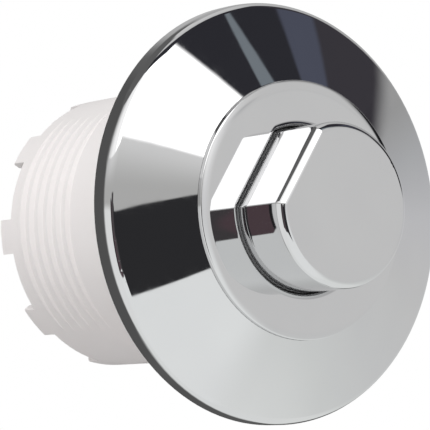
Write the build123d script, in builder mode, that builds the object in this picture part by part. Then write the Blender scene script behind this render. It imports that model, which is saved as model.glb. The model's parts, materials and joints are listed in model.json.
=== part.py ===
from build123d import *

import os
from math import atan2, cos, pi, radians, sin, sqrt, tan

os.makedirs("parts", exist_ok=True)

# Push button for a cistern, made to be fixed in a round hole in a wall.
# The button slides along Y and faces -Y. The origin is the centre of the rosette's back, on the
# wall's surface. Heights are measured from the wall towards the room, radii from the button's axis.
# All lengths are in millimetres and all angles in degrees.

# Push button: a disc with one straight flat
button_radius = 19.3
button_flat = 16.1
flat_angle = 148.0
button_corner = 0.8
button_proud = 14.55
button_edge_round = 2.0
button_wall = 1.8
button_front_wall = 2.0
button_travel = 9.0
lip_overlap = 3.1
lip_thickness = 1.4
stop_thickness = 1.0
stop_fit = 0.15
rest_gap = 0.05

# Face plate with the button's hole, and its screwed skirt
button_gap = 0.5
lip_clearance = 0.7
skirt_wall = 1.9
skirt_length = 8.4
skirt_fit = 0.1
plate_thickness = 2.2
plate_overhang = 3.45
plate_edge_round = 0.4
hole_edge_round = 1.45

# Conical rosette
rosette_overhang = 15.0
rosette_wall = 1.8
rim_height = 5.25
rim_round = 2.4
rim_back_chamfer = 0.3
plate_step = 1.4
land_thickness = 2.0
recess_fit = 0.05
seal_thickness = 1.0
seal_margin = 0.6

# Threaded sleeve
pilot_wall = 1.4
pilot_fit = 0.2
pilot_gap = 0.5
shoulder_width = 3.0
collar_height = 4.9
flange_thickness = 2.5
flange_margin = 5.2
gasket_thickness = 2.0
gasket_fit = 0.2
gasket_groove = 0.6
chamber_step = 6.4
sleeve_wall = 3.0
shank_length = 31.0
sleeve_length = 58.7
thread_depth = 1.0
thread_pitch = 3.85
thread_crest = 1.0
thread_foot = 2.9
thread_crest_round = 0.35
thread_run_out = 0.1
thread_lead_in = 3.2
thread_half_angle = 54.0
thread_end_angle = 9.0
thread_sunk = 0.4
bulkhead_thickness = 2.5
bulkhead_boss_wall = 2.6
bulkhead_boss_length = 3.6
bulkhead_ribs = 6
rib_thickness = 1.8
rib_depth = 3.0
vent_radius = 3.0

# Castellated rear end of the sleeve
finger_count = 9
finger_angle = 145.3
finger_width_angle = 14.5
finger_length = 4.5
finger_wall = 2.0
hook_depth = 0.8
hook_length = 3.0
hook_gap = 0.1
finger_lead = 0.6
sleeve_end_chamfer = 0.5

# Carrier in the back of the button, with its stem
carrier_fit = 0.25
carrier_thickness = 2.5
stem_radius = 6.0
stem_bore = 4.0
stem_bore_depth = 24.0
stem_tail = 5.0
spring_collar_gap = 0.5
spring_collar_height = 2.0
screw_count = 3
screw_inset = 5.5
screw_radius = 1.4
screw_hole_fit = 0.3
screw_pilot_fit = 0.05
screw_head_radius = 2.7
screw_head_height = 1.8
screw_recess_radius = 0.9
screw_recess_depth = 1.0
screw_reach = 7.0
boss_wall = 1.4

# Guide bush, snap ring and return spring
bush_fit = 0.12
bush_wall = 2.4
bush_seat = 0.05
bush_flange_width = 2.6
bush_flange_thickness = 1.5
bush_tail = 1.0
clip_gap = 0.5
clip_thickness = 0.8
clip_groove_depth = 1.0
clip_groove_fit = 0.05
clip_width = 2.8
clip_opening = 7.0
spring_screw_gap = 0.9
spring_wire = 1.4
spring_pressed = 14.5
spring_turns = 5.5
spring_end_gap = 0.05

# Rubber bellows, its clamp and the rear cap with the air spigot
bellows_gap = 0.3
bellows_radius = 22.0
bellows_depth = 5.0
bellows_folds = 4
bellows_wall = 2.2
bellows_head = 2.2
bellows_tip_round = 0.7
nose_fit = 0.2
nose_length = 4.0
cuff_length = 6.5
cuff_wall = 1.6
cuff_fit = 0.1
clamp_width = 3.0
clamp_wall = 1.0
clamp_fit = 0.1
clamp_ear = 3.0
cap_depth = 4.7
cap_fit = 0.2
cap_seat_gap = 0.05
cap_web = 2.6
cap_rim_wall = 2.2
cap_rim_length = 5.9
cap_boss_wall = 3.0
cap_ribs = 6
cap_rib_depth = 2.4
spigot_base_wall = 4.0
spigot_radius = 2.0
spigot_bore = 1.2
spigot_length = 9.0
spigot_lead = 0.5

# Radii from the button outwards
hole_radius = button_radius + button_gap
hole_flat = button_flat + button_gap
lip_radius = hole_radius + lip_overlap
lip_flat = hole_flat + lip_overlap
skirt_inner = lip_radius + lip_clearance
skirt_outer = skirt_inner + skirt_wall
collar_inner = skirt_outer + skirt_fit
pilot_radius = collar_inner + pilot_wall
collar_outer = pilot_radius + shoulder_width
rosette_bore = pilot_radius + pilot_fit
plate_radius = pilot_radius + plate_overhang
recess_radius = plate_radius + recess_fit
chamber_radius = collar_inner + chamber_step
shank_radius = chamber_radius + sleeve_wall
groove_radius = shank_radius - gasket_groove
thread_root = shank_radius - thread_depth
rosette_radius = shank_radius + rosette_overhang
rim_inner = rosette_radius - rosette_wall
flange_radius = rim_inner - flange_margin

# Heights from the wall towards the room
flange_front = gasket_thickness + flange_thickness
shoulder_height = flange_front + collar_height
land_front = shoulder_height + land_thickness
plate_back = land_front + seal_thickness
plate_front = plate_back + plate_thickness
button_front = plate_front + button_proud
stop_front = plate_back - rest_gap
lip_front = stop_front - stop_thickness
lip_back = lip_front - lip_thickness
cone_top = plate_front - plate_step
cone_slope = atan2(cone_top - rim_height, rosette_radius - recess_radius)

# Heights behind the button, towards the sleeve's rear end
spring_length = spring_pressed + button_travel
bush_front = lip_back - spring_length
bulkhead_front = bush_front - bush_flange_thickness
bulkhead_back = bulkhead_front - bulkhead_thickness
boss_back = bulkhead_back - bulkhead_boss_length
bush_back = boss_back - bush_tail
clip_front = bush_back - clip_gap
stem_back = clip_front - clip_thickness - stem_tail
bellows_front = stem_back - bellows_gap
sleeve_back = -sleeve_length
cap_seat = sleeve_back + cap_depth
cap_front = cap_seat - cap_seat_gap
cap_rim_back = cap_front - cap_rim_length
cap_web_back = cap_front - cap_web
spigot_back = cap_rim_back - spigot_length
cuff_front = cap_front + cuff_length
finger_back = sleeve_back - finger_length

# Radii behind the button
screw_circle = button_radius - screw_inset
spring_radius = screw_circle - screw_head_radius - spring_screw_gap - spring_wire / 2
bush_inner = stem_radius + bush_fit
bush_outer = bush_inner + bush_wall
bush_flange = bush_outer + bush_flange_width
bulkhead_hole = bush_outer + bush_seat
boss_outer = bulkhead_hole + bulkhead_boss_wall
clip_inner = stem_radius - clip_groove_depth
finger_inner = thread_root - finger_wall
cap_radius = finger_inner - cap_fit
rear_bore = finger_inner - cap_fit - hook_depth
bellows_valley = bellows_radius - bellows_depth
cap_boss_outer = bellows_valley
cuff_inner = cap_boss_outer + cuff_fit
cuff_outer = cuff_inner + cuff_wall
clamp_inner = cuff_outer + clamp_fit


def section_plane(angle=0):
    """Plane through the button's axis, with x the radius at this angle and y the height."""
    across = (cos(radians(angle)), 0, sin(radians(angle)))
    return Plane(origin=(0, 0, 0), x_dir=across, z_dir=(across[2], 0, -across[0]))


def front_plane(height, angle=0):
    """Plane parallel to the wall at this height, facing the room, with x at this angle."""
    across = (cos(radians(angle)), 0, sin(radians(angle)))
    return Plane(origin=(0, -height, 0), x_dir=across, z_dir=(0, -1, 0))


def flatted_disc(radius, flat, corner):
    """Disc with one flat at this distance from its centre, on the plane's +x side."""
    half_chord = sqrt(radius**2 - flat**2)
    with BuildLine() as outline:
        ThreePointArc((flat, -half_chord), (-radius, 0), (flat, half_chord))
        Line((flat, half_chord), (flat, -half_chord))
    disc = make_face(outline.edges())
    fillet(disc.vertices(), corner)


# Chrome conical rosette: a thin shell with a recessed land under the face plate
inner_drop = rosette_wall / cos(cone_slope)
land_reach = recess_radius + (cone_top - inner_drop - shoulder_height) / tan(cone_slope)
rim_inner_height = rim_height - inner_drop + rosette_wall * tan(cone_slope)
with BuildPart() as escutcheon:
    with BuildSketch(section_plane()) as shell:
        with BuildLine():
            Polyline(
                (rim_inner, 0),
                (rosette_radius, 0),
                (rosette_radius, rim_height),
                (recess_radius, cone_top),
                (recess_radius, land_front),
                (rosette_bore, land_front),
                (rosette_bore, shoulder_height),
                (land_reach, shoulder_height),
                (rim_inner, rim_inner_height),
                close=True,
            )
        make_face()
        fillet(shell.vertices().group_by(Axis.X)[-1].sort_by(Axis.Y)[-1], rim_round)
        chamfer(shell.vertices().group_by(Axis.X)[-1].sort_by(Axis.Y)[0], rim_back_chamfer)
    revolve(axis=Axis.Y)
escutcheon.part.label = "escutcheon"
export_step(escutcheon.part, "parts/escutcheon.step")

# Chrome face plate: a disc with a skirt behind it, and the button's hole with a rounded lip
with BuildPart() as face_plate:
    with BuildSketch(section_plane()) as plate_half:
        with BuildLine():
            Polyline(
                (plate_radius, plate_back),
                (skirt_outer, plate_back),
                (skirt_outer, plate_back - skirt_length),
                (skirt_inner, plate_back - skirt_length),
                (skirt_inner, plate_back),
                (0, plate_back),
                (0, plate_front),
                (plate_radius, plate_front),
                close=True,
            )
        make_face()
        fillet(plate_half.vertices().group_by(Axis.Y)[-1].sort_by(Axis.X)[-1], plate_edge_round)
    revolve(axis=Axis.Y)
    with BuildSketch(front_plane(plate_front, flat_angle)):
        flatted_disc(hole_radius, hole_flat, button_corner + button_gap)
    extrude(amount=-plate_thickness, mode=Mode.SUBTRACT)
    hole_rim = face_plate.faces().sort_by(Axis.Y)[0].inner_wires()[0]
    fillet(hole_rim.edges(), hole_edge_round)
face_plate.part.label = "face_plate"
export_step(face_plate.part, "parts/face_plate.step")

# Chrome push button: a hollow cap with a stop lip and screw bosses inside
button_height = button_front - lip_back
boss_radius = screw_radius + boss_wall
boss_angle = flat_angle + 180
carrier_front = lip_back + carrier_thickness
with BuildPart() as push_button:
    with BuildSketch(front_plane(lip_back, flat_angle)):
        flatted_disc(button_radius, button_flat, button_corner)
    extrude(amount=button_height)
    fillet(push_button.faces().sort_by(Axis.Y)[0].edges(), button_edge_round)
    with BuildSketch(front_plane(lip_back, flat_angle)):
        flatted_disc(lip_radius, lip_flat, button_corner + button_gap + lip_overlap)
    extrude(amount=lip_thickness)
    with BuildSketch(front_plane(lip_back, flat_angle)):
        flatted_disc(button_radius - button_wall, button_flat - button_wall, button_corner)
    extrude(amount=button_height - button_front_wall, mode=Mode.SUBTRACT)
    with BuildSketch(front_plane(carrier_front, boss_angle)):
        with PolarLocations(screw_circle, screw_count):
            Circle(boss_radius)
    extrude(amount=button_front - button_front_wall - carrier_front)
    with BuildSketch(front_plane(carrier_front, boss_angle)):
        with PolarLocations(screw_circle, screw_count):
            Circle(screw_radius + screw_pilot_fit)
    extrude(amount=screw_reach + screw_pilot_fit, mode=Mode.SUBTRACT)
push_button.part.label = "push_button"
export_step(push_button.part, "parts/push_button.step")

# Rubber ring on the button's lip that meets the plate
with BuildPart() as stop_gasket:
    with BuildSketch(front_plane(lip_front, flat_angle)):
        flatted_disc(lip_radius, lip_flat, button_corner + button_gap + lip_overlap)
    extrude(amount=stop_thickness)
    with BuildSketch(front_plane(lip_front, flat_angle)):
        flatted_disc(button_radius + stop_fit, button_flat + stop_fit, button_corner + stop_fit)
    extrude(amount=stop_thickness, mode=Mode.SUBTRACT)
stop_gasket.part.label = "stop_gasket"
export_step(stop_gasket.part, "parts/stop_gasket.step")

# Rubber ring between the face plate and the rosette's land
with BuildPart() as plate_seal:
    with BuildSketch(front_plane(land_front)):
        Circle(plate_radius - seal_margin)
        Circle(rosette_bore + seal_margin, mode=Mode.SUBTRACT)
    extrude(amount=seal_thickness)
plate_seal.part.label = "plate_seal"
export_step(plate_seal.part, "parts/plate_seal.step")

# Rubber ring between the sleeve's flange and the wall
with BuildPart() as flange_gasket:
    with BuildSketch(front_plane(0)):
        Circle(flange_radius)
        Circle(groove_radius + gasket_fit, mode=Mode.SUBTRACT)
    extrude(amount=gasket_thickness)
flange_gasket.part.label = "flange_gasket"
export_step(flange_gasket.part, "parts/flange_gasket.step")

# Thread of the sleeve: on both sides, ridges that follow its lead and run out into the wall
thread_front = -shank_length - thread_depth - thread_run_out
thread_turns = int((thread_front - sleeve_back - thread_lead_in) / thread_pitch)
thread_slope = thread_pitch / (2 * pi * thread_root)
thread_offset = thread_depth / (1 - cos(radians(thread_half_angle)))
ridge_radius = thread_root + thread_depth - thread_offset
ridge_root = ridge_radius - thread_depth - thread_sunk
ridge_base = thread_foot + (thread_foot - thread_crest) * thread_sunk / thread_depth
ridge_arc = 2 * (thread_half_angle + thread_end_angle)


def ridge_axis(height, side):
    """Axis of a ridge on the right (side 1) or on the left (side -1), tilted by the lead."""
    return Axis((side * thread_offset, -height, 0), (0, -1, -side * thread_slope))


def ridge_plane(axis, side):
    """Plane through a ridge's axis where its arc starts, with x outwards and y along the axis."""
    start = Vector(side, 0, 0).rotate(axis, -ridge_arc / 2)
    return Plane(origin=axis.position, x_dir=start, z_dir=start.cross(axis.direction))


# White moulded sleeve: flange, collar for the face plate, bulkhead and castellated rear end
pilot_front = plate_back - pilot_gap
rib_middle = (boss_outer + rear_bore) / 2
rib_length = rear_bore - boss_outer + sleeve_wall
hook_front = cap_rim_back - hook_gap
hook_inner = finger_inner - hook_depth
finger_pitch = 360 / finger_count
with BuildPart() as threaded_sleeve:
    with BuildSketch(section_plane()) as wall:
        with BuildLine():
            Polyline(
                (collar_inner, pilot_front),
                (pilot_radius, pilot_front),
                (pilot_radius, shoulder_height),
                (collar_outer, shoulder_height),
                (collar_outer, flange_front),
                (flange_radius, flange_front),
                (flange_radius, gasket_thickness),
                (groove_radius, gasket_thickness),
                (groove_radius, 0),
                (shank_radius, 0),
                (shank_radius, -shank_length),
                (thread_root, -shank_length - thread_depth),
                (thread_root, finger_back + finger_lead),
                (thread_root - finger_lead, finger_back),
                (finger_inner, finger_back),
                (hook_inner, hook_front - hook_length / 3),
                (hook_inner, hook_front),
                (finger_inner, hook_front),
                (finger_inner, cap_seat),
                (rear_bore, cap_seat),
                (rear_bore, bulkhead_back),
                (boss_outer, bulkhead_back),
                (boss_outer, boss_back),
                (bulkhead_hole, boss_back),
                (bulkhead_hole, bulkhead_front),
                (chamber_radius, bulkhead_front),
                (chamber_radius, -sleeve_wall),
                (collar_inner, gasket_thickness + flange_thickness / 2),
                close=True,
            )
        make_face()
    revolve(axis=Axis.Y)
    for turn in range(thread_turns):
        for side in (-1, 1):
            half_turn = (side + 1) / 4
            axis = ridge_axis(thread_front - (turn + 0.5 + half_turn) * thread_pitch, side)
            with BuildSketch(ridge_plane(axis, side)) as ridge:
                with BuildLine():
                    Polyline(
                        (ridge_root, -ridge_base / 2),
                        (ridge_radius, -thread_crest / 2),
                        (ridge_radius, thread_crest / 2),
                        (ridge_root, ridge_base / 2),
                        close=True,
                    )
                make_face()
                fillet(ridge.vertices().group_by(Axis.X)[-1], thread_crest_round)
            revolve(axis=axis, revolution_arc=ridge_arc)
    for finger in range(finger_count):
        gap_start = finger_angle + finger * finger_pitch - finger_width_angle / 2
        with BuildSketch(section_plane(gap_start)):
            with BuildLine():
                Polyline(
                    (hook_inner - hook_depth, sleeve_back),
                    (thread_root - sleeve_end_chamfer, sleeve_back),
                    (thread_root, sleeve_back + sleeve_end_chamfer),
                    (shank_radius, sleeve_back + sleeve_end_chamfer),
                    (shank_radius, finger_back - finger_lead),
                    (hook_inner - hook_depth, finger_back - finger_lead),
                    close=True,
                )
            make_face()
        revolve(axis=Axis.Y, revolution_arc=finger_pitch - finger_width_angle, mode=Mode.SUBTRACT)
    with BuildSketch(front_plane(bulkhead_back)):
        with PolarLocations(rib_middle, bulkhead_ribs):
            Rectangle(rib_length, rib_thickness)
    extrude(amount=-rib_depth)
    with BuildSketch(front_plane(bulkhead_front)):
        with PolarLocations(rib_middle, bulkhead_ribs, start_angle=180 / bulkhead_ribs):
            Circle(vent_radius)
    extrude(amount=-bulkhead_thickness, mode=Mode.SUBTRACT)
threaded_sleeve.part.label = "threaded_sleeve"
export_step(threaded_sleeve.part, "parts/threaded_sleeve.step")

# Carrier: a plate that fills the back of the button, with a hollow stem
spring_collar = spring_radius - spring_wire / 2 - spring_collar_gap
with BuildPart() as button_carrier:
    with BuildSketch(front_plane(lip_back, flat_angle)):
        fit_radius = button_radius - button_wall - carrier_fit
        fit_flat = button_flat - button_wall - carrier_fit
        flatted_disc(fit_radius, fit_flat, button_corner)
    extrude(amount=carrier_thickness)
    with BuildSketch(section_plane()):
        with BuildLine():
            Polyline(
                (0, lip_back + carrier_thickness / 2),
                (spring_collar, lip_back + carrier_thickness / 2),
                (spring_collar, lip_back - spring_collar_height),
                (stem_radius, lip_back - spring_collar_height),
                (stem_radius, clip_front + clip_groove_fit),
                (clip_inner, clip_front + clip_groove_fit),
                (clip_inner, clip_front - clip_thickness - clip_groove_fit),
                (stem_radius, clip_front - clip_thickness - clip_groove_fit),
                (stem_radius, stem_back),
                (0, stem_back),
                close=True,
            )
        make_face()
    revolve(axis=Axis.Y)
    with BuildSketch(front_plane(stem_back)):
        Circle(stem_bore)
    extrude(amount=stem_bore_depth, mode=Mode.SUBTRACT)
    with BuildSketch(front_plane(lip_back, boss_angle)):
        with PolarLocations(screw_circle, screw_count):
            Circle(screw_radius + screw_hole_fit)
    extrude(amount=carrier_thickness, mode=Mode.SUBTRACT)
    mouth = button_carrier.faces().sort_by(Axis.Y)[-1].edges().sort_by(SortBy.LENGTH)[-1]
    chamfer(mouth, clip_groove_depth / 2)
button_carrier.part.label = "button_carrier"
export_step(button_carrier.part, "parts/button_carrier.step")

# Screws that hold the carrier on the button's bosses
with BuildPart() as carrier_screws:
    with BuildSketch(front_plane(lip_back, boss_angle)):
        with PolarLocations(screw_circle, screw_count):
            Circle(screw_head_radius)
    extrude(amount=-screw_head_height)
    with BuildSketch(front_plane(lip_back, boss_angle)):
        with PolarLocations(screw_circle, screw_count):
            Circle(screw_radius)
    extrude(amount=carrier_thickness + screw_reach)
    with BuildSketch(front_plane(lip_back - screw_head_height, boss_angle)):
        with PolarLocations(screw_circle, screw_count):
            RegularPolygon(screw_recess_radius, 6)
    extrude(amount=screw_recess_depth, mode=Mode.SUBTRACT)
carrier_screws.part.label = "carrier_screws"
export_step(carrier_screws.part, "parts/carrier_screws.step")

# Plain bearing of the stem, whose flange is the spring's seat
with BuildPart() as guide_bush:
    with BuildSketch(section_plane()):
        with BuildLine():
            Polyline(
                (bush_inner, bush_front),
                (bush_flange, bush_front),
                (bush_flange, bulkhead_front),
                (bush_outer, bulkhead_front),
                (bush_outer, bush_back),
                (bush_inner, bush_back),
                close=True,
            )
        make_face()
    revolve(axis=Axis.Y)
guide_bush.part.label = "guide_bush"
export_step(guide_bush.part, "parts/guide_bush.step")

# Open snap ring in the stem's groove
clip_outer = clip_inner + clip_groove_fit + clip_width
with BuildPart() as stem_clip:
    with BuildSketch(front_plane(clip_front)):
        Circle(clip_outer)
        Circle(clip_inner + clip_groove_fit, mode=Mode.SUBTRACT)
        with Locations((0, -clip_outer)):
            Rectangle(clip_opening, 2 * clip_outer, mode=Mode.SUBTRACT)
    extrude(amount=-clip_thickness)
stem_clip.part.label = "stem_clip"
export_step(stem_clip.part, "parts/stem_clip.step")

# Return spring between the carrier and the bush
coil_margin = spring_wire / 2 + spring_end_gap
coil_height = spring_length - 2 * coil_margin
coil_start = (0, -(bush_front + coil_margin), 0)
with BuildPart() as return_spring:
    with BuildLine():
        coil = Helix(coil_height / spring_turns, coil_height, spring_radius, coil_start, (0, -1, 0))
    with BuildSketch(Plane(origin=coil @ 0, z_dir=coil % 0)):
        Circle(spring_wire / 2)
    sweep(is_frenet=True)
return_spring.part.label = "return_spring"
export_step(return_spring.part, "parts/return_spring.step")

# Rubber bellows: a closed head with a nose in the stem, folds, and a cuff on the rear cap
fold_back = cuff_front
fold_front = bellows_front - bellows_head
fold_pitch = (fold_front - fold_back) / bellows_folds
outer_folds = []
for fold in range(bellows_folds):
    outer_folds.append((bellows_radius, fold_front - (fold + 0.5) * fold_pitch))
    outer_folds.append((bellows_valley, fold_front - (fold + 1) * fold_pitch))
inner_folds = [(radius - bellows_wall, height) for radius, height in reversed(outer_folds)]
nose_radius = stem_bore - nose_fit
with BuildPart() as bellows:
    with BuildSketch(section_plane()) as rubber:
        with BuildLine():
            Polyline(
                (0, bellows_front + nose_length),
                (nose_radius, bellows_front + nose_length),
                (nose_radius, bellows_front),
                (bellows_valley, bellows_front),
                (bellows_valley, fold_front),
                *outer_folds[:-1],
                (cuff_outer, cuff_front),
                (cuff_outer, cap_front + rest_gap),
                (cuff_inner, cap_front + rest_gap),
                (cuff_inner, cuff_front - cuff_fit),
                *inner_folds,
                (bellows_valley - bellows_wall, fold_front),
                (0, fold_front),
                close=True,
            )
        make_face()
        fillet(rubber.vertices().group_by(Axis.X)[-1], bellows_tip_round)
    revolve(axis=Axis.Y)
bellows.part.label = "bellows"
export_step(bellows.part, "parts/bellows.step")

# Band with an ear that clamps the bellows' cuff on the cap
clamp_front = cap_front + (cuff_length + clamp_width) / 2
with BuildPart() as bellows_clamp:
    with BuildSketch(front_plane(clamp_front)):
        Circle(clamp_inner + clamp_wall)
        with Locations((0, clamp_inner + clamp_ear / 2)):
            Rectangle(clamp_ear, clamp_ear + clamp_wall)
        Circle(clamp_inner, mode=Mode.SUBTRACT)
    extrude(amount=-clamp_width)
bellows_clamp.part.label = "bellows_clamp"
export_step(bellows_clamp.part, "parts/bellows_clamp.step")

# Rear cap: web with ribs, a boss for the bellows in front and the air spigot behind
cap_boss_inner = cap_boss_outer - cap_boss_wall
cap_rim_inner = cap_radius - cap_rim_wall
spigot_base = spigot_radius + spigot_base_wall
cap_rib_middle = (spigot_base + cap_rim_inner) / 2
cap_rib_length = cap_rim_inner - spigot_base + cap_rim_wall
with BuildPart() as rear_cap:
    with BuildSketch(section_plane()):
        with BuildLine():
            Polyline(
                (spigot_bore, cap_front),
                (cap_boss_inner, cap_front),
                (cap_boss_inner, cuff_front - cuff_fit - rest_gap),
                (cap_boss_outer, cuff_front - cuff_fit - rest_gap),
                (cap_boss_outer, cap_front),
                (cap_radius, cap_front),
                (cap_radius, cap_rim_back),
                (cap_rim_inner, cap_rim_back),
                (cap_rim_inner, cap_web_back),
                (spigot_base, cap_web_back),
                (spigot_base, cap_rim_back),
                (spigot_radius, cap_rim_back),
                (spigot_radius, spigot_back + spigot_lead),
                (spigot_radius - spigot_lead, spigot_back),
                (spigot_bore, spigot_back),
                close=True,
            )
        make_face()
    revolve(axis=Axis.Y)
    with BuildSketch(front_plane(cap_web_back)):
        with PolarLocations(cap_rib_middle, cap_ribs):
            Rectangle(cap_rib_length, rib_thickness)
    extrude(amount=-cap_rib_depth)
rear_cap.part.label = "rear_cap"
export_step(rear_cap.part, "parts/rear_cap.step")
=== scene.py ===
"""Looks of a wall-mounted cistern push button: chrome front, white threaded sleeve, air works."""

import json
import logging
import math
from collections.abc import Mapping, Sequence
from dataclasses import dataclass, field
from enum import Enum

import bpy
from mathutils import Matrix, Vector

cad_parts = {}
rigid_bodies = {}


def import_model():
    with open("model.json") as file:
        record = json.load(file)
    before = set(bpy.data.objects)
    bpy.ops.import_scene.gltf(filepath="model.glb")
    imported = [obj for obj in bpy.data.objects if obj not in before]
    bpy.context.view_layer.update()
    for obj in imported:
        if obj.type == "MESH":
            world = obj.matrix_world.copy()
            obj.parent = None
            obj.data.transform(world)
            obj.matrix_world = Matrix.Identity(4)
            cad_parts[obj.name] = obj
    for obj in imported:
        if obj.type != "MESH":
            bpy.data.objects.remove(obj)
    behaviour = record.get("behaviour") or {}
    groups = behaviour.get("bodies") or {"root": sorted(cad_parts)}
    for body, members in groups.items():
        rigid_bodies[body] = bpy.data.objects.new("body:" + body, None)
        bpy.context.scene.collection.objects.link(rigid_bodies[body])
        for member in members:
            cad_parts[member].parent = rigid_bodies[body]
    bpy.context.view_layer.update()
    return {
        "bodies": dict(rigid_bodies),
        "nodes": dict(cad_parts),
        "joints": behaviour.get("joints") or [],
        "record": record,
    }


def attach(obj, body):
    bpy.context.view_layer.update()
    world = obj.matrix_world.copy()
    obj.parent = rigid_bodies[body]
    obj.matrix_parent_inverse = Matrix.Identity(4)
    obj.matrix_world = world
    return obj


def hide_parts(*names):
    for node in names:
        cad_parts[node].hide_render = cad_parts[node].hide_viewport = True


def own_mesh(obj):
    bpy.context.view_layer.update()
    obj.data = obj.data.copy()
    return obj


log = logging.getLogger("push_button")

MM = 0.001
SHARP_ANGLE = 35.0
HOUSING = "housing"

Point = tuple[float, float, float]
Profile = list[tuple[float, float]]


class Slot(Enum):
    """Material slots of the record."""

    CHROME = "polished_chrome"
    WHITE = "white_plastic"
    ACETAL = "natural_acetal"
    STEEL = "bright_steel"
    RUBBER = "black_rubber"


def linear(hex_colour: str) -> tuple[float, float, float, float]:
    """Turn an sRGB hex colour into linear light.

    Args:
        hex_colour: Six hex digits, such as "e8e6e0".

    Returns:
        Linear red, green, blue and an alpha of 1.
    """
    parts = [int(hex_colour[i : i + 2], 16) / 255 for i in (0, 2, 4)]
    red, green, blue = (p / 12.92 if p <= 0.04045 else ((p + 0.055) / 1.055) ** 2.4 for p in parts)
    return red, green, blue, 1.0


def add_node(
    tree: bpy.types.NodeTree,
    kind: str,
    sockets: Mapping[str | int, object] | None = None,
    **settings: object,
) -> bpy.types.Node:
    """Add one node with its settings, values and links.

    Args:
        tree: Node tree that takes the node.
        kind: Blender's node type.
        sockets: Input name or index to a value, or to the output socket that feeds it.
        settings: Properties of the node itself.

    Returns:
        The new node.
    """
    node = tree.nodes.new(kind)
    for name, value in settings.items():
        setattr(node, name, value)
    for key, value in (sockets or {}).items():
        if isinstance(value, bpy.types.NodeSocket):
            tree.links.new(value, node.inputs[key])
        else:
            node.inputs[key].default_value = value
    return node


def per_mm(size: float) -> float:
    """Texture scale, in cells a metre, of a pattern whose cells are this many millimetres wide."""
    return 1 / (size * MM)


def at(radius: float, height: float, angle: float) -> Point:
    """Point of the frame, in metres.

    Args:
        radius: Distance from the button's axis, in millimetres.
        height: Distance from the wall towards the room, in millimetres.
        angle: Angle about the axis from +X towards +Z, in degrees.

    Returns:
        The point's X, Y and Z.
    """
    turn = math.radians(angle)
    return radius * math.cos(turn) * MM, -height * MM, radius * math.sin(turn) * MM


def plan(out: float, aside: float, angle: float) -> tuple[float, float]:
    """X and Z of a place this far out in a direction, and this far aside from there, in millimetres."""
    across, rise = math.cos(math.radians(angle)), math.sin(math.radians(angle))
    return out * across - aside * rise, out * rise + aside * across


def mesh_piece(name: str, points: Sequence[Point], faces: Sequence[Sequence[int]]) -> bpy.types.Object:
    """Make a smooth-shaded mesh object with sharp edges where faces meet steeply.

    Args:
        name: Name of the piece.
        points: Vertices in metres.
        faces: Vertex indices of each face.

    Returns:
        The new object, linked to the scene.
    """
    mesh = bpy.data.meshes.new(name)
    mesh.from_pydata(points, [], faces)
    mesh.validate()
    mesh.shade_smooth()
    mesh.set_sharp_from_angle(angle=math.radians(SHARP_ANGLE))
    piece = bpy.data.objects.new(name, mesh)
    bpy.context.scene.collection.objects.link(piece)
    return piece


def ring_faces(steps: int, count: int) -> list[tuple[int, int, int, int]]:
    """Join closed sections that stand in a closed ring.

    Args:
        steps: Number of sections.
        count: Number of points in each section.

    Returns:
        Vertex indices of each face.
    """
    faces = []
    for s in range(steps):
        here, after = s * count, (s + 1) % steps * count
        for i in range(count):
            j = (i + 1) % count
            faces.append((here + i, here + j, after + j, after + i))
    return faces


def turned(name: str, profile: Profile, steps: int) -> bpy.types.Object:
    """Turn a closed section about the button's axis.

    Args:
        name: Name of the piece.
        profile: Radius and height of each corner of the section, in millimetres.
        steps: Number of steps in the full turn.

    Returns:
        The turned piece.
    """
    points = [at(r, h, 360 * s / steps) for s in range(steps) for r, h in profile]
    return mesh_piece(name, points, ring_faces(steps, len(profile)))


def drawn(name: str, path: Sequence[Vector], radius: float, sides: int = 14) -> bpy.types.Object:
    """Draw a round wire along a path.

    Args:
        name: Name of the piece.
        path: Points of the wire's middle, in metres.
        radius: Wire radius in metres.
        sides: Number of sides of the wire's section.

    Returns:
        The wire, closed at both ends.
    """
    points: list[Point] = []
    axis = Vector((0, 1, 0))
    for i, middle in enumerate(path):
        along = (path[min(i + 1, len(path) - 1)] - path[max(i - 1, 0)]).normalized()
        across = along.cross(axis).normalized()
        rise = across.cross(along)
        for k in range(sides):
            turn = math.tau * k / sides
            points.append(tuple(middle + (across * math.cos(turn) + rise * math.sin(turn)) * radius))
    faces: list[Sequence[int]] = []
    for i in range(len(path) - 1):
        for k in range(sides):
            here, after = i * sides, (i + 1) * sides
            faces.append((here + k, after + k, after + (k + 1) % sides, here + (k + 1) % sides))
    last = (len(path) - 1) * sides
    faces.append(range(sides))
    faces.append(range(last + sides - 1, last - 1, -1))
    return mesh_piece(name, points, faces)


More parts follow.
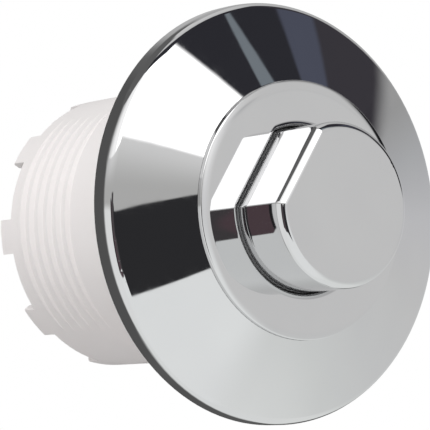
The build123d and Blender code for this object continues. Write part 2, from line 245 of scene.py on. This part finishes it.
@dataclass(frozen=True)
class PolishedChrome:
    """Bright chrome plate, buffed to a mirror on a metal casting.

    It gives the eye a clean mirror with slightly soft edges, and a faint waviness that the
    buffing leaves, seen only where a straight reflection bends a little. Inside the gap round the
    button no buff reaches, so the plating there stays a matt grey.
    """

    name: str = "chrome_plate_polished"
    plate: str = "dddddd"
    plate_shade: str = "d8d8d9"
    roughness: tuple[float, float] = (0.02, 0.05)
    buff_mm: float = 14.0
    buff_detail: float = 1.0
    haze_mm: float = 3.0
    haze_detail: float = 4.0
    haze_span: tuple[float, float] = (0.35, 0.7)
    wave_mm: float = 0.004
    gap_radius_mm: float = 23.2
    gap_front_mm: float = 13.9
    gap_roughness: float = 0.6
    gap_metal: float = 0.2
    gap_shade: str = "b8b9ba"

    def gap_mask(self, tree: bpy.types.NodeTree, place: bpy.types.NodeSocket) -> bpy.types.NodeSocket:
        """Mask of the walls inside the gap round the button.

        Args:
            tree: Node tree of the chrome.
            place: Socket with the point in the frame, in metres.

        Returns:
            Socket that is 1 on those walls and 0 elsewhere.
        """
        parts = add_node(tree, "ShaderNodeSeparateXYZ", {0: place})
        across = add_node(tree, "ShaderNodeCombineXYZ", {"X": parts.outputs["X"], "Y": parts.outputs["Z"]})
        radius = add_node(tree, "ShaderNodeVectorMath", {0: across.outputs[0]}, operation="LENGTH")
        near = add_node(
            tree,
            "ShaderNodeMath",
            {0: radius.outputs["Value"], 1: self.gap_radius_mm * MM},
            operation="LESS_THAN",
        )
        deep = add_node(
            tree,
            "ShaderNodeMath",
            {0: parts.outputs["Y"], 1: -self.gap_front_mm * MM},
            operation="GREATER_THAN",
        )
        both = add_node(
            tree, "ShaderNodeMath", {0: near.outputs[0], 1: deep.outputs[0]}, operation="MULTIPLY"
        )
        return both.outputs[0]

    def material(self) -> bpy.types.Material:
        """Build the chrome's material.

        Returns:
            A mirror everywhere but in the gap round the button, where it is matt.
        """
        material, tree, shader = new_material(self.name)
        place = add_node(tree, "ShaderNodeTexCoord").outputs["Object"]
        buff = add_node(
            tree,
            "ShaderNodeTexNoise",
            {"Vector": place, "Scale": per_mm(self.buff_mm), "Detail": self.buff_detail},
        )
        haze = add_node(
            tree,
            "ShaderNodeTexNoise",
            {"Vector": place, "Scale": per_mm(self.haze_mm), "Detail": self.haze_detail},
        )
        low, high = self.roughness
        least, most = self.haze_span
        gloss = add_node(
            tree,
            "ShaderNodeMapRange",
            {
                "Value": haze.outputs["Fac"],
                "From Min": least,
                "From Max": most,
                "To Min": low,
                "To Max": high,
            },
        ).outputs["Result"]
        tint = add_node(
            tree,
            "ShaderNodeMix",
            {"Factor": buff.outputs["Fac"], "A": linear(self.plate), "B": linear(self.plate_shade)},
            data_type="RGBA",
        )
        wave = add_node(
            tree,
            "ShaderNodeBump",
            {"Height": buff.outputs["Fac"], "Distance": self.wave_mm * MM, "Strength": 1.0},
        )
        gap = self.gap_mask(tree, place)
        colour = add_node(
            tree,
            "ShaderNodeMix",
            {"Factor": gap, "A": tint.outputs["Result"], "B": linear(self.gap_shade)},
            data_type="RGBA",
        )
        sheen = add_node(
            tree,
            "ShaderNodeMapRange",
            {"Value": gap, "To Min": gloss, "To Max": self.gap_roughness},
        )
        metal = add_node(
            tree, "ShaderNodeMapRange", {"Value": gap, "To Min": 1.0, "To Max": self.gap_metal}
        )
        tree.links.new(metal.outputs["Result"], shader.inputs["Metallic"])
        tree.links.new(colour.outputs["Result"], shader.inputs["Base Color"])
        tree.links.new(sheen.outputs["Result"], shader.inputs["Roughness"])
        tree.links.new(wave.outputs["Normal"], shader.inputs["Normal"])
        return material


@dataclass(frozen=True)
class MouldedPlastic:
    """Injection-moulded plastic with a satin skin.

    It gives the eye a soft sheen over an even colour, with faint cloudy flow marks and the fine
    spark grain of the mould.
    """

    name: str
    colour: str
    flow_colour: str
    roughness: tuple[float, float]
    flow_mm: float = 18.0
    flow_detail: float = 3.0
    flow_span: tuple[float, float] = (0.3, 0.7)
    # The mould's real grain is finer. It is drawn this coarse so that it shows.
    grain_mm: float = 0.35
    grain_detail: float = 2.0
    grain_depth_mm: float = 0.012
    grain_strength: float = 0.6
    ior: float = 1.5

    def material(self) -> bpy.types.Material:
        """Build the plastic's material.

        Returns:
            A satin skin in this finish's two colours.
        """
        material, tree, shader = new_material(self.name)
        place = add_node(tree, "ShaderNodeTexCoord").outputs["Object"]
        flow = add_node(
            tree,
            "ShaderNodeTexNoise",
            {"Vector": place, "Scale": per_mm(self.flow_mm), "Detail": self.flow_detail},
        )
        grain = add_node(
            tree,
            "ShaderNodeTexNoise",
            {"Vector": place, "Scale": per_mm(self.grain_mm), "Detail": self.grain_detail},
        )
        tint = add_node(
            tree,
            "ShaderNodeMix",
            {"Factor": flow.outputs["Fac"], "A": linear(self.colour), "B": linear(self.flow_colour)},
            data_type="RGBA",
        )
        low, high = self.roughness
        least, most = self.flow_span
        gloss = add_node(
            tree,
            "ShaderNodeMapRange",
            {
                "Value": flow.outputs["Fac"],
                "From Min": least,
                "From Max": most,
                "To Min": low,
                "To Max": high,
            },
        ).outputs["Result"]
        bump = add_node(
            tree,
            "ShaderNodeBump",
            {
                "Height": grain.outputs["Fac"],
                "Distance": self.grain_depth_mm * MM,
                "Strength": self.grain_strength,
            },
        )
        shader.inputs["IOR"].default_value = self.ior
        tree.links.new(tint.outputs["Result"], shader.inputs["Base Color"])
        tree.links.new(gloss, shader.inputs["Roughness"])
        tree.links.new(bump.outputs["Normal"], shader.inputs["Normal"])
        return material


@dataclass(frozen=True)
class DrawnSteel:
    """Bright spring steel, drawn through a die.

    It gives the eye a grey metal shine, which the die's fine marks blur a little unevenly.
    """

    name: str = "spring_steel_drawn"
    colour: str = "b9babc"
    roughness: tuple[float, float] = (0.22, 0.36)
    # The die's real marks are finer. They are drawn this coarse so that they show.
    mark_mm: float = 0.25
    mark_detail: float = 3.0
    mark_span: tuple[float, float] = (0.3, 0.7)

    def material(self) -> bpy.types.Material:
        """Build the steel's material.

        Returns:
            A grey metal whose gloss varies from mark to mark.
        """
        material, tree, shader = new_material(self.name)
        place = add_node(tree, "ShaderNodeTexCoord").outputs["Object"]
        marks = add_node(
            tree,
            "ShaderNodeTexNoise",
            {"Vector": place, "Scale": per_mm(self.mark_mm), "Detail": self.mark_detail},
        )
        low, high = self.roughness
        least, most = self.mark_span
        gloss = add_node(
            tree,
            "ShaderNodeMapRange",
            {
                "Value": marks.outputs["Fac"],
                "From Min": least,
                "From Max": most,
                "To Min": low,
                "To Max": high,
            },
        ).outputs["Result"]
        shader.inputs["Metallic"].default_value = 1.0
        shader.inputs["Base Color"].default_value = linear(self.colour)
        tree.links.new(gloss, shader.inputs["Roughness"])
        return material


def new_material(name: str) -> tuple[bpy.types.Material, bpy.types.NodeTree, bpy.types.Node]:
    """Start a material.

    Args:
        name: Name of the material.

    Returns:
        The material, its node tree and its principled shader.
    """
    material = bpy.data.materials.new(name)
    material.use_nodes = True
    return material, material.node_tree, material.node_tree.nodes["Principled BSDF"]


@dataclass
class Finishes:
    """One material for each slot of the record."""

    table: dict[Slot, bpy.types.Material] = field(default_factory=dict)

    def build(self) -> None:
        """Make all materials."""
        self.table = {
            Slot.CHROME: PolishedChrome().material(),
            Slot.WHITE: MouldedPlastic("abs_white_moulded", "f3f0ef", "efeae9", (0.36, 0.46)).material(),
            Slot.ACETAL: MouldedPlastic("acetal_natural_moulded", "e0dfd8", "d8d7d0", (0.3, 0.4)).material(),
            Slot.STEEL: DrawnSteel().material(),
            Slot.RUBBER: MouldedPlastic("epdm_rubber_moulded", "1c1c1d", "252526", (0.6, 0.75)).material(),
        }

    def dress_node(self, node: bpy.types.Object, slot: Slot) -> None:
        """Give a CAD node the finish of its slot.

        Args:
            node: The node's object.
            slot: Material slot that the record gives it.
        """
        for material_slot in node.material_slots:
            material_slot.material = self.table[slot]
        log.info("%s dressed as %s", node.name, self.table[slot].name)

    def dress_piece(self, piece: bpy.types.Object, slot: Slot, body: str) -> None:
        """Give a new piece its finish and let it ride on a body.

        Args:
            piece: The new piece.
            slot: Material slot whose finish it takes.
            body: Body that it moves with.
        """
        piece.data.materials.append(self.table[slot])
        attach(piece, body)
        log.info("%s built on %s as %s", piece.name, body, self.table[slot].name)


@dataclass
class FacePlate:
    """Face plate with the button's hole, whose margin falls away in a soft crown.

    Lengths are in millimetres, angles in degrees. Hole, front, back and skirt are those of the solids.
    """

    front: float = 14.6
    back: float = 12.4
    radius: float = 30.45
    crown_start: float = 27.7
    crown_tilt: float = 12.0
    crown_steps: int = 8
    edge_round: float = 0.3
    edge_steps: int = 6
    hole_radius: float = 19.8
    hole_flat: float = 16.6
    hole_corner: float = 1.3
    hole_round: float = 1.45
    hole_steps: int = 10
    flat_angle: float = 148.0
    skirt_inner: float = 23.6
    skirt_outer: float = 25.5
    skirt_back: float = 4.0
    # Width of the strips of flat beside each round, which keep the shading of the flat even.
    flat_guard: float = 0.05
    arc_stations: int = 150
    flat_stations: int = 24
    corner_stations: int = 8

    def stations(self) -> list[tuple[float, float, float]]:
        """Walk round the hole.

        Returns:
            X and Z of each station, one corner radius inside the hole's wall, and the direction from
            there to the wall.
        """
        inner, flat = self.hole_radius - self.hole_corner, self.hole_flat - self.hole_corner
        half = math.degrees(math.acos(flat / inner))
        chord = math.sqrt(inner**2 - flat**2)
        first, last = self.flat_angle - half, self.flat_angle + half
        walk = []
        for s in range(self.arc_stations):
            turn = last + (360 - 2 * half) * s / self.arc_stations
            walk.append((*plan(inner, 0, turn), turn))
        for s in range(self.corner_stations):
            walk.append((*plan(inner, 0, first), first + half * s / self.corner_stations))
        for s in range(self.flat_stations):
            slide = chord * (2 * s / self.flat_stations - 1)
            walk.append((*plan(flat, slide, self.flat_angle), self.flat_angle))
        for s in range(self.corner_stations):
            walk.append((*plan(inner, 0, last), self.flat_angle + half * s / self.corner_stations))
        return walk

    def hole_rows(self) -> Profile:
        """Shape the hole's wall and its rounded lip.

        Returns:
            Distance outside the hole's wall, and height, of each row.
        """
        rows = [(0.0, self.back)]
        for s in range(self.hole_steps + 1):
            turn = math.pi / 2 * s / self.hole_steps
            out, rise = 1 - math.cos(turn), math.sin(turn) - 1
            rows.append((self.hole_round * out, self.front + self.hole_round * rise))
        return rows + [(self.hole_round + self.flat_guard, self.front)]

    def margin_rows(self) -> Profile:
        """Shape the margin, the edge, the back and the skirt.

        Returns:
            Radius and height of each row.
        """
        tilt = math.radians(self.crown_tilt)
        centre = self.radius - self.edge_round
        curve = (centre - self.crown_start) / math.sin(tilt) + self.edge_round
        foot = self.front - curve + (curve - self.edge_round) * math.cos(tilt)
        rows = [(self.crown_start - self.flat_guard, self.front)]
        for s in range(self.crown_steps):
            turn = tilt * s / self.crown_steps
            drop = curve * (1 - math.cos(turn))
            rows.append((self.crown_start + curve * math.sin(turn), self.front - drop))
        for s in range(self.edge_steps + 1):
            turn = tilt + (math.pi / 2 - tilt) * s / self.edge_steps
            rows.append((centre + self.edge_round * math.sin(turn), foot + self.edge_round * math.cos(turn)))
        rows += [(self.radius, self.back), (self.skirt_outer, self.back)]
        rows += [(self.skirt_outer, self.skirt_back), (self.skirt_inner, self.skirt_back)]
        return rows + [(self.skirt_inner, self.back)]

    def build(self, finishes: Finishes) -> None:
        """Form the plate from sections all round the hole, and put it in place of the plain one.

        Args:
            finishes: Materials of the slots.
        """
        hole, margin = self.hole_rows(), self.margin_rows()
        points: list[Point] = []
        walk = self.stations()
        for x, z, way in walk:
            for out, height in hole:
                reach_x, reach_z = plan(self.hole_corner + out, 0, way)
                points.append(((x + reach_x) * MM, -height * MM, (z + reach_z) * MM))
            lip_x, _, lip_z = points[-1]
            turn = math.degrees(math.atan2(lip_z, lip_x))
            points += [at(radius, height, turn) for radius, height in margin]
        faces = ring_faces(len(walk), len(hole) + len(margin))
        plate = mesh_piece("face_plate_crowned", points, faces)
        finishes.dress_piece(plate, Slot.CHROME, HOUSING)
        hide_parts("face_plate")


@dataclass
class ChromeFront:
    """Rosette and button with the same chrome, and the rubber rings behind them."""

    nodes: tuple[str, ...] = ("escutcheon", "push_button")
    rubber: tuple[str, ...] = ("plate_seal", "stop_gasket", "flange_gasket")

    def dress(self, frame: Mapping[str, dict], finishes: Finishes) -> None:
        """Give the front's nodes their finish.

        Args:
            frame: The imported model.
            finishes: Materials of the slots.
        """
        for name in self.nodes:
            finishes.dress_node(frame["nodes"][name], Slot.CHROME)
        for name in self.rubber:
            finishes.dress_node(frame["nodes"][name], Slot.RUBBER)


@dataclass
class Sleeve:
    """White threaded sleeve and its rear cap."""

    nodes: tuple[str, ...] = ("threaded_sleeve", "rear_cap")

    def dress(self, frame: Mapping[str, dict], finishes: Finishes) -> None:
        """Give the sleeve and its rear cap their finish."""
        for name in self.nodes:
            finishes.dress_node(frame["nodes"][name], Slot.WHITE)


@dataclass
class AirWorks:
    """Carrier, return spring and bellows inside the sleeve. Lengths are in millimetres."""

    travel: float = 9.0
    spring_radius: float = 9.5
    spring_wire: float = 1.4
    spring_front: float = 9.9
    spring_back: float = -13.5
    spring_turns: float = 5.5
    spring_dead_turns: float = 1.0
    spring_dead_pitch: float = 1.428
    spring_turn_steps: int = 48
    bellows_radius: float = 21.2
    bellows_valley: float = 17.0
    bellows_wall: float = 1.3
    bellows_head: float = 2.2
    bellows_front: float = -28.75
    bellows_folds: int = 4
    fold_steps: int = 8
    ring_steps: int = 96
    nose_radius: float = 3.8
    nose_length: float = 4.0
    # The turned section stops this close to the axis.
    nose_core: float = 0.01
    cuff_front: float = -47.55
    cuff_back: float = -54.0
    cuff_inner: float = 17.1
    cuff_outer: float = 18.7
    acetal: tuple[str, ...] = ("button_carrier", "guide_bush")
    steel: tuple[str, ...] = ("carrier_screws", "stem_clip", "bellows_clamp")

    def build_spring(self, finishes: Finishes) -> None:
        """Wind the spring, with one closed turn at each end.

        Args:
            finishes: Materials of the slots.
        """
        wire = self.spring_wire
        low, high = self.spring_back + wire / 2, self.spring_front - wire / 2
        dead, dead_pitch = self.spring_dead_turns, self.spring_dead_pitch
        live = self.spring_turns - 2 * dead
        dead_rise = dead * dead_pitch
        live_pitch = (high - low - 2 * dead_rise) / live
        path = []
        steps = int(self.spring_turns * self.spring_turn_steps)
        for s in range(steps + 1):
            turn = self.spring_turns * s / steps
            if turn < dead:
                height = low + turn * dead_pitch
            elif turn < dead + live:
                height = low + dead_rise + (turn - dead) * live_pitch
            else:
                height = high - (self.spring_turns - turn) * dead_pitch
            path.append(Vector(at(self.spring_radius, height, 360 * turn)))
        spring = drawn("return_spring_wire", path, wire / 2 * MM)
        finishes.dress_piece(spring, Slot.STEEL, HOUSING)
        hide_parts("return_spring")
        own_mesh(spring)

    def fold_profile(self) -> Profile:
        """Draw the section of the bellows' head and folds.

        Returns:
            Radius and height of each corner, outside first and then back inside.
        """
        front = self.bellows_front - self.bellows_head
        pitch = (front - self.cuff_front) / self.bellows_folds
        middle = (self.bellows_radius + self.bellows_valley) / 2
        swing = (self.bellows_radius - self.bellows_valley) / 2
        count = self.bellows_folds * self.fold_steps
        wave = []
        for s in range(count + 1):
            phase = math.tau * s / self.fold_steps
            wave.append((middle - swing * math.cos(phase), front - pitch * s / self.fold_steps))
        outside = [(self.nose_radius, self.bellows_front + self.nose_length)]
        outside += [(self.nose_radius, self.bellows_front), (self.bellows_valley, self.bellows_front)]
        inside = [(r - self.bellows_wall, h) for r, h in reversed(wave)]
        tip = [(self.nose_core, front), (self.nose_core, self.bellows_front + self.nose_length)]
        return outside + wave + inside + tip

    def build_bellows(self, finishes: Finishes) -> None:
        """Mould the bellows: its folds, and a cuff that stays on the cap.

        Args:
            finishes: Materials of the slots.
        """
        folds = turned("bellows_folds", self.fold_profile(), self.ring_steps)
        finishes.dress_piece(folds, Slot.RUBBER, HOUSING)
        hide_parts("bellows")
        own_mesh(folds)
        cuff_section = [
            (self.cuff_inner, self.cuff_front),
            (self.cuff_outer, self.cuff_front),
            (self.cuff_outer, self.cuff_back),
            (self.cuff_inner, self.cuff_back),
        ]
        cuff = turned("bellows_cuff", cuff_section, self.ring_steps)
        finishes.dress_piece(cuff, Slot.RUBBER, HOUSING)
        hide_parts("bellows")

    def dress(self, frame: Mapping[str, dict], finishes: Finishes) -> None:
        """Give the inner nodes that keep their shape a finish.

        Args:
            frame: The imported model.
            finishes: Materials of the slots.
        """
        for name in self.acetal:
            finishes.dress_node(frame["nodes"][name], Slot.ACETAL)
        for name in self.steel:
            finishes.dress_node(frame["nodes"][name], Slot.STEEL)


@dataclass(frozen=True)
class Card:
    """A convex patch of the reflection tent. Its corners are azimuth and elevation, counter-clockwise."""

    corners: tuple[tuple[float, float], ...]
    grey: str
    soft: float = 0.5
    level: float = 1.0

    def colour(self) -> tuple[float, ...]:
        """Linear colour times the card's level."""
        return tuple(part * self.level for part in linear(self.grey)[:3]) + (1.0,)


@dataclass(frozen=True)
class Lamp:
    """A soft square lamp: where it hangs, in degrees, its power in watts and its side in metres."""

    name: str
    azimuth: float
    elevation: float
    power: float
    size: float = 0.7


@dataclass
class Studio:
    """Camera, tent, lamps and floor. Lengths are in millimetres, angles in degrees.

    Azimuth is measured from straight out of the wall towards +X, elevation above the horizon.
    """

    camera_distance: float = 600.0
    camera_azimuth: float = -37.88
    camera_elevation: float = -5.45
    camera_shift_right: float = -12.0
    camera_shift_up: float = -0.18
    focal_px: float = 2524.0
    photo_px: float = 430.0
    sensor: float = 36.0
    tent_radius: float = 300.0
    tent_segments: int = 96
    tent_rings: int = 48
    tent_strength: float = 1.39
    ambient: float = 0.43
    floor_drop: float = 130.0
    floor_radius: float = 900.0
    floor_sides: int = 128
    floor_colour: str = "e9e8e8"
    floor_fleck: str = "ecebeb"
    fleck_mm: float = 2.0
    floor_roughness: float = 0.9
    lamps: tuple[Lamp, ...] = (
        Lamp("key_lamp", -75.0, 45.0, 6.1),
        Lamp("back_lamp", -150.0, 45.0, 0.4),
    )
    # Elevation and grey of the tent where no card hangs.
    ramp: tuple[tuple[float, str], ...] = (
        (-90.0, "d3d5d5"),
        (-42.0, "d2d4d3"),
        (-34.0, "c6c8c7"),
        (-22.0, "bfc0c0"),
        (-6.0, "bababa"),
        (5.0, "b7b7b9"),
        (15.0, "a4a5a7"),
        (23.0, "949494"),
        (90.0, "c8c8c8"),
    )
    # The tent is turned so that the seam of its azimuths lies behind the object at the right.
    tent_turn: float = -50.0
    cards: tuple[Card, ...] = (
        # Dark room above the front, which the top of the cone mirrors.
        Card(((-60.0, 42.0), (77.5, 42.0), (77.5, 66.0), (-60.0, 66.0)), "2a2a2f", 1.5),
        Card(((30.0, 43.5), (66.0, 24.0), (77.5, 24.0), (77.5, 43.5)), "2a2a2f", 1.5),
        Card(((60.0, 20.0), (80.7, 20.0), (80.7, 66.0), (60.0, 66.0)), "37353a", 1.8),
        # Pale patch under it, for the upper edge of the plate's hole.
        Card(((14.0, 20.0), (34.0, 20.0), (34.0, 40.0), (14.0, 40.0)), "bcbcbc", 2.0),
        # Two bluish streaks in the dark.
        Card(((26.7, 41.0), (40.5, 41.0), (30.6, 53.0)), "6e757b", 0.6),
        Card(((52.9, 41.0), (65.2, 36.0), (65.2, 45.5), (53.0, 50.5)), "484b58", 1.0),
        # Pale ground at the front and the left.
        Card(((-75.0, -85.0), (22.0, -85.0), (22.0, 0.0), (-75.0, 0.0)), "d8dada", 10.0),
        Card(((-130.0, -45.0), (-50.0, -45.0), (-50.0, 5.0), (-130.0, 5.0)), "d6d7d7", 4.0),
        # Grey band at the left, paler towards its top.
        Card(((-130.0, 2.0), (5.0, 2.0), (5.0, 26.0), (-130.0, 26.0)), "a8a8a7", 2.0),
        Card(((-130.0, 15.5), (5.0, 15.5), (5.0, 30.0), (-130.0, 30.0)), "cacaca", 7.0),
        # Even grey that the plate and the button's front mirror, and the glow beside it.
        Card(((20.0, -12.0), (62.0, -12.0), (62.0, 17.0), (20.0, 17.0)), "bebebe", 4.0),
        Card(((4.0, 8.0), (22.0, 8.0), (22.0, 27.0), (4.0, 27.0)), "e6e6e6", 9.0),
        # Grey above it for the plate's margin, and the dark that lines the margin at the right.
        Card(((30.0, 15.0), (51.0, 15.0), (51.0, 27.0), (30.0, 33.0)), "bcbcbc", 3.0),
        Card(((55.0, 9.5), (78.0, 9.5), (78.0, 26.0), (55.0, 26.0)), "1c1c1e", 2.0),
        # White window at the upper left, fading towards the back.
        Card(((-105.0, 21.7), (-30.0, 21.7), (-30.0, 54.9), (-105.0, 61.5)), "f2f2f2", 0.8),
        Card(((-140.0, 18.0), (-88.0, 18.0), (-88.0, 62.0), (-140.0, 62.0)), "a8a8a8", 22.0),
        Card(((-45.0, 21.7), (15.0, 21.7), (17.5, 41.8), (-30.0, 54.9), (-45.0, 56.2)), "fdfdfd", 0.8, 1.5),
        # Black wedge at the left, with a grey and a brown end that the button's wall mirrors.
        Card(((-51.0, -21.5), (-40.0, -22.0), (-24.0, -18.0), (-24.0, 3.5), (-51.0, 5.5)), "252526", 1.0),
        Card(((-30.0, -20.0), (-3.0, -17.5), (-3.0, 17.4), (-17.8, 2.6), (-30.0, -9.6)), "29292b", 0.3),
        Card(((-28.0, -15.0), (-16.0, -15.0), (-16.0, 2.6), (-28.0, 2.6)), "29292b", 0.3),
        Card(((-40.0, -22.0), (-29.0, -22.0), (-29.0, 7.5), (-40.0, 7.5)), "444143", 0.5),
        Card(((-43.0, -22.0), (-34.9, -22.0), (-40.3, 4.5), (-43.0, 4.5)), "524449", 0.5),
        # Dim room behind, for the rim's side wall.
        Card(
            ((-245.0, -56.0), (-123.0, -50.0), (-108.0, 50.0), (-182.0, 50.0), (-237.0, -8.0)),
            "4e4e4e",
            12.0,
        ),
        Card(((-222.0, 40.0), (-110.0, 44.0), (-60.0, 56.5), (-60.0, 80.0), (-222.0, 80.0)), "5a5a5a", 1.5),
        Card(((-245.0, 10.0), (-190.0, 20.0), (-190.0, 90.0), (-245.0, 90.0)), "a4a4a4", 14.0),
        Card(((113.0, -46.0), (131.0, -46.0), (131.0, -14.0), (113.0, -30.0)), "4a4a4a", 5.0),
    )

    def heading(self, azimuth: float, elevation: float) -> Vector:
        """Unit vector from the object towards this azimuth and elevation."""
        a, e = math.radians(azimuth), math.radians(elevation)
        return Vector((math.sin(a) * math.cos(e), -math.cos(a) * math.cos(e), math.sin(e)))

    def build_camera(self) -> None:
        """Set the camera where the photograph was taken from."""
        back = self.heading(self.camera_azimuth, self.camera_elevation)
        right = (-back).cross(Vector((0, 0, 1))).normalized()
        rise = right.cross(-back)
        spot = back * self.camera_distance + right * self.camera_shift_right + rise * self.camera_shift_up
        data = bpy.data.cameras.new("camera")
        data.sensor_width = self.sensor
        data.lens = self.focal_px / self.photo_px * self.sensor
        camera = bpy.data.objects.new("camera", data)
        axes = Matrix((right, rise, back)).transposed()
        camera.matrix_world = Matrix.Translation(spot * MM) @ axes.to_4x4()
        bpy.context.scene.collection.objects.link(camera)
        bpy.context.scene.camera = camera

    def card_mask(
        self,
        tree: bpy.types.NodeTree,
        card: Card,
        place: bpy.types.NodeSocket,
    ) -> bpy.types.NodeSocket:
        """Mask of one card on the tent.

        Args:
            tree: Node tree of the tent.
            card: The card.
            place: Socket with azimuth and elevation in degrees, and 1 in the third place.

        Returns:
            Socket that is 1 on the card and 0 beside it.
        """
        mask: bpy.types.NodeSocket | float = 1.0
        corners = [(azimuth - self.tent_turn, elevation) for azimuth, elevation in card.corners]
        for (x0, y0), (x1, y1) in zip(corners, corners[1:] + corners[:1]):
            length = math.hypot(x1 - x0, y1 - y0)
            inward = ((y0 - y1) / length, (x1 - x0) / length)
            edge = (*inward, -inward[0] * x0 - inward[1] * y0)
            depth = add_node(tree, "ShaderNodeVectorMath", {0: place, 1: edge}, operation="DOT_PRODUCT")
            ramp = add_node(
                tree,
                "ShaderNodeMapRange",
                {"Value": depth.outputs["Value"], "From Min": -card.soft, "From Max": card.soft},
                interpolation_type="SMOOTHSTEP",
            )
            product = add_node(
                tree, "ShaderNodeMath", {0: mask, 1: ramp.outputs["Result"]}, operation="MULTIPLY"
            )
            mask = product.outputs[0]
        return mask

    def build_tent(self) -> None:
        """Build the reflection tent: a sphere that only mirrors see, light below and dark above."""
        material = bpy.data.materials.new("reflection_tent")
        material.use_nodes = True
        tree = material.node_tree
        tree.nodes.clear()
        place = add_node(tree, "ShaderNodeTexCoord").outputs["Object"]
        unit = add_node(tree, "ShaderNodeVectorMath", {0: place}, operation="NORMALIZE").outputs[0]
        parts = add_node(tree, "ShaderNodeSeparateXYZ", {0: unit})
        outward = add_node(tree, "ShaderNodeMath", {0: parts.outputs["Y"], 1: -1.0}, operation="MULTIPLY")
        azimuth = add_node(
            tree, "ShaderNodeMath", {0: parts.outputs["X"], 1: outward.outputs[0]}, operation="ARCTAN2"
        ).outputs[0]
        elevation = add_node(tree, "ShaderNodeMath", {0: parts.outputs["Z"]}, operation="ARCSINE").outputs[0]
        share = add_node(
            tree,
            "ShaderNodeMapRange",
            {"Value": elevation, "From Min": -math.pi / 2, "From Max": math.pi / 2},
        )
        ramp = add_node(tree, "ShaderNodeValToRGB", {"Fac": share.outputs["Result"]})
        stops = ramp.color_ramp.elements
        while len(stops) < len(self.ramp):
            stops.new(0.5)
        for stop, (angle, grey) in zip(stops, self.ramp):
            stop.position = (angle + 90) / 180
            stop.color = linear(grey)
        turned_by = add_node(tree, "ShaderNodeMath", {0: azimuth}, operation="DEGREES").outputs[0]
        raised_by = add_node(tree, "ShaderNodeMath", {0: elevation}, operation="DEGREES").outputs[0]
        spot = add_node(tree, "ShaderNodeCombineXYZ", {"X": turned_by, "Y": raised_by, "Z": 1.0}).outputs[0]
        colour = ramp.outputs["Color"]
        for card in self.cards:
            mask = self.card_mask(tree, card, spot)
            colour = add_node(
                tree,
                "ShaderNodeMix",
                {"Factor": mask, "A": colour, "B": card.colour()},
                data_type="RGBA",
            ).outputs["Result"]
        glow = add_node(tree, "ShaderNodeEmission", {"Color": colour, "Strength": self.tent_strength})
        add_node(tree, "ShaderNodeOutputMaterial", {"Surface": glow.outputs[0]})
        bpy.ops.mesh.primitive_uv_sphere_add(
            segments=self.tent_segments, ring_count=self.tent_rings, radius=self.tent_radius * MM
        )
        tent = bpy.context.object
        tent.name = "reflection_tent"
        tent.rotation_euler.z = math.radians(self.tent_turn)
        tent.data.materials.append(material)
        for ray in ("camera", "diffuse", "shadow", "transmission", "volume_scatter"):
            setattr(tent, f"visible_{ray}", False)

    def build_world(self) -> None:
        """Light the world softly, with plain white behind the object."""
        world = bpy.data.worlds.new("white_room")
        world.use_nodes = True
        tree = world.node_tree
        tree.nodes.clear()
        rays = add_node(tree, "ShaderNodeLightPath")
        seen = add_node(
            tree,
            "ShaderNodeMath",
            {0: rays.outputs["Is Camera Ray"], 1: rays.outputs["Is Glossy Ray"]},
            operation="MAXIMUM",
        )
        seen = add_node(
            tree,
            "ShaderNodeMath",
            {0: seen.outputs[0], 1: rays.outputs["Is Transmission Ray"]},
            operation="MAXIMUM",
        )
        level = add_node(
            tree,
            "ShaderNodeMapRange",
            {"Value": seen.outputs[0], "To Min": self.ambient, "To Max": 1.0},
        )
        white = add_node(
            tree,
            "ShaderNodeBackground",
            {"Color": (1.0, 1.0, 1.0, 1.0), "Strength": level.outputs["Result"]},
        )
        add_node(tree, "ShaderNodeOutputWorld", {"Surface": white.outputs[0]})
        bpy.context.scene.world = world

    def add_lamp(self, lamp: Lamp) -> None:
        """Hang a lamp one metre from the object, facing it, where no mirror shows it.

        Args:
            lamp: The lamp's place, power and size.
        """
        data = bpy.data.lights.new(lamp.name, "AREA")
        data.energy = lamp.power
        data.size = lamp.size
        hung = bpy.data.objects.new(lamp.name, data)
        spot = self.heading(lamp.azimuth, lamp.elevation)
        hung.location = spot
        hung.rotation_euler = spot.to_track_quat("Z", "Y").to_euler()
        hung.visible_glossy = False
        bpy.context.scene.collection.objects.link(hung)

    def build_floor(self) -> None:
        """Lay a pale round floor below the object that catches its shadow."""
        material, tree, shader = new_material("floor_paper")
        place = add_node(tree, "ShaderNodeTexCoord").outputs["Object"]
        speckle = add_node(tree, "ShaderNodeTexNoise", {"Vector": place, "Scale": per_mm(self.fleck_mm)})
        tint = add_node(
            tree,
            "ShaderNodeMix",
            {
                "Factor": speckle.outputs["Fac"],
                "A": linear(self.floor_colour),
                "B": linear(self.floor_fleck),
            },
            data_type="RGBA",
        )
        tree.links.new(tint.outputs["Result"], shader.inputs["Base Color"])
        shader.inputs["Roughness"].default_value = self.floor_roughness
        bpy.ops.mesh.primitive_circle_add(
            vertices=self.floor_sides,
            radius=self.floor_radius * MM,
            fill_type="NGON",
            location=(0, 0, -self.floor_drop * MM),
        )
        floor = bpy.context.object
        floor.name = "floor"
        floor.data.materials.append(material)
        floor.visible_glossy = False

    def build(self) -> None:
        """Build the whole studio."""
        scene = bpy.context.scene
        scene.view_settings.view_transform = "Standard"
        self.build_camera()
        self.build_world()
        self.build_tent()
        self.build_floor()
        for lamp in self.lamps:
            self.add_lamp(lamp)


def main() -> None:
    """Build and dress every sub-assembly in order."""
    logging.basicConfig(level=logging.INFO, format="%(name)s: %(message)s")
    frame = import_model()
    Studio().build()
    finishes = Finishes()
    finishes.build()
    FacePlate().build(finishes)
    ChromeFront().dress(frame, finishes)
    Sleeve().dress(frame, finishes)
    works = AirWorks()
    works.build_spring(finishes)
    works.build_bellows(finishes)
    works.dress(frame, finishes)


if __name__ == "__main__":
    main()
